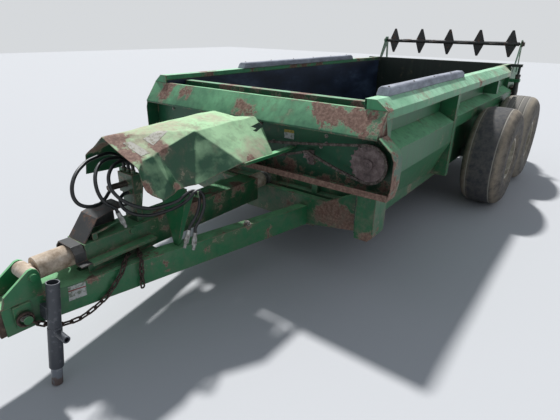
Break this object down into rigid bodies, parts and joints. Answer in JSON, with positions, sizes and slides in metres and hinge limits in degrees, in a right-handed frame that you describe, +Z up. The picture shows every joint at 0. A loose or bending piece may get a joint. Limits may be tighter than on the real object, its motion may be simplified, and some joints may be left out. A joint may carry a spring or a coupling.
{
  "type": "push-off manure spreader",
  "caption": "Towed manure spreader: open box with hydraulic push-off panel, lifting endgate, rear beaters, tandem wheels, A-frame tongue with jack, and a chain drive under a hood.",
  "frame": {"origin": "on the ground, under the middle of the overall box, as it stands parked on its wheels and jack", "axes": "+X towards the hitch, +Y to the side with the beater drive, +Z up"},
  "size_m": [7.33, 3.006, 1.809],
  "materials": {
    "green_paint": "sun-faded green enamel with rust where it is worn through",
    "dark_green_paint": "dirty dark green enamel",
    "rusty_steel": "brown rust",
    "grey_plastic": "weathered, chalky",
    "black_plastic": "scuffed polyethylene sheet",
    "black_paint": "matt black with dust",
    "bare_steel": "dull, worn",
    "wheel_paint": "chalky off-white enamel with rust",
    "black_rubber": "smooth hose cover, dusty",
    "tyre_rubber": "grey worn rubber with dried mud"
  },
  "bodies": {
    "root": {"side_sheets": "green_paint", "side_rails": "green_paint", "rail_caps": "grey_plastic", "front_wall": "green_paint", "chain_tray": "green_paint", "floor_frame": "dark_green_paint", "wall_liners": "black_plastic", "shaft_cover": "green_paint", "side_posts": "green_paint", "gate_guides": "green_paint", "gate_cylinders": "black_paint", "beater_plates": "green_paint", "beater_bearings": "bare_steel", "rear_drive_case": "rusty_steel", "large_sprocket": "rusty_steel", "chain_idler": "rusty_steel", "drive_chain": "rusty_steel", "input_shaft": "bare_steel", "front_posts": "green_paint", "cross_member": "green_paint", "tongue": "green_paint", "hitch": "rusty_steel", "ram_strap": "black_paint", "hood_legs": "green_paint", "bearing_block": "green_paint", "walking_beams": "green_paint", "ram_barrel": "rusty_steel", "ram_guard": "green_paint", "shaft_shield": "black_paint", "hood": "green_paint", "jack_sleeve": "bare_steel", "safety_chains": "rusty_steel", "hose_1": "black_rubber", "hose_2": "black_rubber", "hose_3": "black_rubber", "hose_4": "black_rubber", "hose_couplers": "bare_steel"},
    "wheel_front_left": {"rim_front_left": "wheel_paint", "tyre_front_left": "tyre_rubber"},
    "wheel_front_right": {"rim_front_right": "wheel_paint", "tyre_front_right": "tyre_rubber"},
    "wheel_rear_left": {"rim_rear_left": "wheel_paint", "tyre_rear_left": "tyre_rubber"},
    "wheel_rear_right": {"rim_rear_right": "wheel_paint", "tyre_rear_right": "tyre_rubber"},
    "main_beater": {"main_beater": "rusty_steel"},
    "upper_beater": {"upper_beater": "black_paint"},
    "endgate": {"endgate": "dark_green_paint"},
    "ram": {"ram_panel": "green_paint", "ram_plunger": "bare_steel"},
    "ram_stage_1": {"ram_stage_1": "bare_steel"},
    "ram_stage_2": {"ram_stage_2": "bare_steel"},
    "jack_leg": {"jack_leg": "bare_steel"}
  },
  "joints": [
    {"name": "wheel_front_left_spin", "type": "hinge", "parent": "root", "child": "wheel_front_left", "pos_m": [-1.165, 1.297, 0.523], "axis": [0, 1, 0], "continuous": true},
    {"name": "wheel_front_right_spin", "type": "hinge", "parent": "root", "child": "wheel_front_right", "pos_m": [-1.165, -1.297, 0.523], "axis": [0, 1, 0], "continuous": true},
    {"name": "wheel_rear_left_spin", "type": "hinge", "parent": "root", "child": "wheel_rear_left", "pos_m": [-2.335, 1.297, 0.523], "axis": [0, 1, 0], "continuous": true},
    {"name": "wheel_rear_right_spin", "type": "hinge", "parent": "root", "child": "wheel_rear_right", "pos_m": [-2.335, -1.297, 0.523], "axis": [0, 1, 0], "continuous": true},
    {"name": "main_beater_spin", "type": "hinge", "parent": "root", "child": "main_beater", "pos_m": [-3.32, 0, 0.93], "axis": [0, 1, 0], "continuous": true},
    {"name": "upper_beater_spin", "type": "hinge", "parent": "root", "child": "upper_beater", "pos_m": [-3.265, 0, 1.63], "axis": [0, 1, 0], "continuous": true},
    {"name": "endgate_lift", "type": "slide", "parent": "root", "child": "endgate", "axis": [0, 0, 1], "range_m": [0, 0.6]},
    {"name": "ram_slide", "type": "slide", "parent": "root", "child": "ram", "axis": [-1, 0, 0], "range_m": [0, 4.02]},
    {"name": "ram_stage_1_slide", "type": "slide", "parent": "root", "child": "ram_stage_1", "axis": [-1, 0, 0], "range_m": [0, 1.34]},
    {"name": "ram_stage_2_slide", "type": "slide", "parent": "ram_stage_1", "child": "ram_stage_2", "axis": [-1, 0, 0], "range_m": [0, 1.34]},
    {"name": "jack_leg_slide", "type": "slide", "parent": "root", "child": "jack_leg", "axis": [-0.1495, 0, 0.9888], "range_m": [0, 0.25]}
  ],
  "couplings": [
    {"joint": "ram_stage_1_slide", "follows": "ram_slide", "ratio": 0.33333},
    {"joint": "ram_stage_2_slide", "follows": "ram_slide", "ratio": 0.33333}
  ]
}
